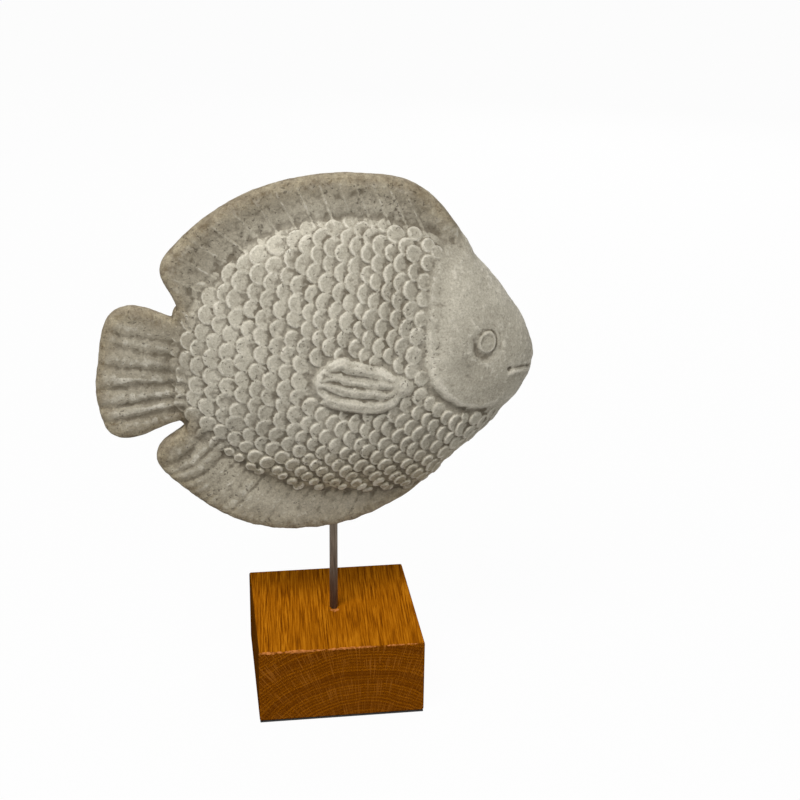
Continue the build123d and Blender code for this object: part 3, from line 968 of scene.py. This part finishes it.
def oakMaterial():
    looks = oakLooks
    low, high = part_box("oak_block")
    material, tree, shader, place = newMaterial("oak", looks["roughness"])
    split = separate(tree, place)

    def calc(operation, first, second=0.0):
        return maths(tree, operation, first, second)

    def lengthOf(first, second):
        squares = calc("MULTIPLY", first, first), calc("MULTIPLY", second, second)
        return calc("SQRT", calc("ADD", *squares))

    def stretched(scale, size, detail, roughness):
        inputs = {"Scale": scale, "Rotation": (0, 0, math.radians(looks["lean"]))}
        mapping = addNode(tree, "Mapping", inputs, vector_type="TEXTURE")
        tree.links.new(place, mapping.inputs["Vector"])
        return noise(tree, mapping.outputs["Vector"], size, detail, roughness)

    # year rings round a heart line that runs along Y, below the block
    across = calc("SUBTRACT", split["X"], looks["heart"][0])
    down = calc("SUBTRACT", split["Z"], looks["heart"][1])
    radius = lengthOf(across, down)
    angle = calc("ARCTAN2", across, down)
    wobble = calc("MULTIPLY", stretched((1.0, 16.0, 1.0), 22, 3, 0.5), looks["wobble"])
    rings = calc("MULTIPLY", calc("ADD", radius, wobble), 1 / looks["ring"])

    # long grain on the top and the sides, and painted shade darkening the left side
    streak = stretched((1.0, 34.0, 1.0), 1150, 4, 0.65)
    plain = ramp(tree, streak, (0.38, 0.50, 0.62), looks["longGrain"])
    broad = ramp(tree, stretched((1.0, 22.0, 1.0), 170, 3, 0.6), (0.35, 0.65), (0, 0.45))
    plain = blendColours(tree, broad, plain, linear(*looks["longBands"]))
    leftSideShade = calc("LESS_THAN", split["X"], low.x + 0.0007)
    leftSideShade = calc("MULTIPLY", leftSideShade, 0.75)
    plain = blendColours(tree, leftSideShade, plain, linear(*looks["leftSideShade"]))

    # end grain: rings, pores and pale rays
    endWood = ramp(tree, calc("FRACT", rings), (0.0, 0.5, 1.0), looks["endGrain"])
    bands = noise(tree, vectorOf(tree, rings, 0.0, 0.0), 0.45, 2, 0.6)
    bands = ramp(tree, bands, (0.42, 0.58), (0, 0.6))
    endWood = blendColours(tree, bands, endWood, linear(*looks["endBands"]))
    pores = vectorOf(tree, rings, calc("MULTIPLY", angle, 70), 0.0)
    pores = ramp(tree, noise(tree, pores, 3.2, 2, 0.6), (0.46, 0.56), (0, 0.9))
    endWood = blendColours(tree, pores, endWood, linear(*looks["pores"]))
    rays = vectorOf(tree, calc("MULTIPLY", angle, 90), calc("MULTIPLY", radius, 40), 0.0)
    rays = ramp(tree, noise(tree, rays, 1.6, 2, 0.5), (0.55, 0.62), (0, 0.6))
    endWood = blendColours(tree, rays, endWood, linear(*looks["rays"]))
    ends = calc("GREATER_THAN", calc("ABSOLUTE", split["Y"]), high.y - 0.0007)
    colour = blendColours(tree, ends, plain, endWood)

    # torn pale fibres along the front top edge, and a chip at the rod's foot
    fibres = noise(tree, place, 420, 3, 0.7)
    coarse = calc("SUBTRACT", noise(tree, place, 110, 2, 0.6), 0.5)
    tear = calc("ADD", fibres, calc("MULTIPLY", coarse, 1.6))
    depth = calc("ADD", calc("SUBTRACT", high.z, split["Z"]), calc("MULTIPLY", tear, -0.0018))
    depth = calc("ADD", depth, calc("MULTIPLY", split["X"], 0.006))
    inward = calc("ADD", calc("MULTIPLY", tear, 0.0022), low.y - 0.0004)
    edge = calc("LESS_THAN", depth, looks["tornEdge"])
    edge = calc("MULTIPLY", edge, calc("LESS_THAN", split["Y"], inward))
    behind = calc("SUBTRACT", split["Y"], looks["chipPlace"])
    chip = lengthOf(calc("DIVIDE", split["X"], 1.5), behind)
    chip = calc("ADD", chip, calc("MULTIPLY", tear, 0.0012))
    chip = calc("LESS_THAN", chip, looks["chip"])
    worn = ramp(tree, fibres, (0.38, 0.62), (0.1, 0.85))
    pale = calc("MULTIPLY", calc("MAXIMUM", edge, chip), worn)
    colour = blendColours(tree, pale, colour, linear(*looks["torn"]))
    tree.links.new(colour, shader.inputs["Base Color"])
    shader.inputs["Specular IOR Level"].default_value = 0.0
    addBump(tree, shader, streak, *looks["bump"])
    return material


# each steel's dark and bright streaks, and its roughness
steelLooks = {
    "darkSteel": ((76, 68, 60), (124, 112, 98), 0.42),
    "zincSteel": ((170, 172, 174), (200, 202, 204), 0.35),
}


def steelMaterial(name):
    dark, bright, roughness = steelLooks[name]
    material, tree, shader, place = newMaterial(name, roughness)
    long = addNode(tree, "Mapping", {"Scale": (1.0, 1.0, 0.05)})
    tree.links.new(place, long.inputs["Vector"])
    streak = noise(tree, long.outputs["Vector"], 1800, 3, 0.6)
    tree.links.new(ramp(tree, streak, (0.3, 0.7), (dark, bright)), shader.inputs["Base Color"])
    shader.inputs["Metallic"].default_value = 1.0
    addBump(tree, shader, streak, 0.3, 0.00005)
    return material


plasticLooks = {"tones": ((196, 194, 188), (214, 212, 206)), "roughness": 0.45}


def plasticMaterial():
    material, tree, shader, place = newMaterial("sleevePlastic", plasticLooks["roughness"])
    cloud = noise(tree, place, 400, 3, 0.6)
    tone = ramp(tree, cloud, (0.3, 0.7), plasticLooks["tones"])
    tree.links.new(tone, shader.inputs["Base Color"])
    return material


# the felt sheet under the block
feltSizes = {
    "edge": 0.00035,
    "edgeSteps": 3,
    "cuts": 8,
    "smoothAngle": 40,
    "tones": ((18, 16, 15), (38, 35, 32)),
    "roughness": 0.97,
    "sheen": 0.3,
    "bump": (0.6, 0.0002),
}


def feltMaterial():
    sizes = feltSizes
    material, tree, shader, place = newMaterial("felt", sizes["roughness"])
    fluff = noise(tree, place, 1600, 4, 0.7)
    tree.links.new(ramp(tree, fluff, (0.3, 0.7), sizes["tones"]), shader.inputs["Base Color"])
    shader.inputs["Sheen Weight"].default_value = sizes["sheen"]
    addBump(tree, shader, fluff, *sizes["bump"])
    return material


def makeFelt():
    sizes = feltSizes
    low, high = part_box("felt_sheet")
    deselectAll()
    bpy.ops.mesh.primitive_cube_add(size=1, location=(low + high) / 2)
    felt = bpy.context.object
    felt.name = "feltPad"
    felt.scale = high - low
    bpy.ops.object.transform_apply(location=True, rotation=True, scale=True)
    applyModifier(felt, "BEVEL", width=sizes["edge"], segments=sizes["edgeSteps"],
                  limit_method="ANGLE")
    makeActive(felt)
    bpy.ops.object.mode_set(mode="EDIT")
    bpy.ops.mesh.select_all(action="SELECT")
    bpy.ops.mesh.quads_convert_to_tris()
    bpy.ops.mesh.tris_convert_to_quads()
    bpy.ops.mesh.subdivide(number_cuts=sizes["cuts"])
    bpy.ops.object.mode_set(mode="OBJECT")
    smoothShade(felt, sizes["smoothAngle"])
    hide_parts("felt_sheet")
    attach(felt, "stand")
    return felt


felt = makeFelt()
print("felt made")


def dress(piece, material):
    piece.data.materials.clear()
    piece.data.materials.append(material)


dress(fish, concreteMaterial())
dress(felt, feltMaterial())
dress(cadNodes["oak_block"], oakMaterial())
dress(cadNodes["support_rod"], steelMaterial("darkSteel"))
zincSteel = steelMaterial("zincSteel")
dress(cadNodes["rod_washer"], zincSteel)
dress(cadNodes["rod_nut"], zincSteel)
sleevePlastic = plasticMaterial()
dress(cadNodes["rod_sleeve"], sleevePlastic)
dress(cadNodes["sleeve_plug"], sleevePlastic)
print("materials set")
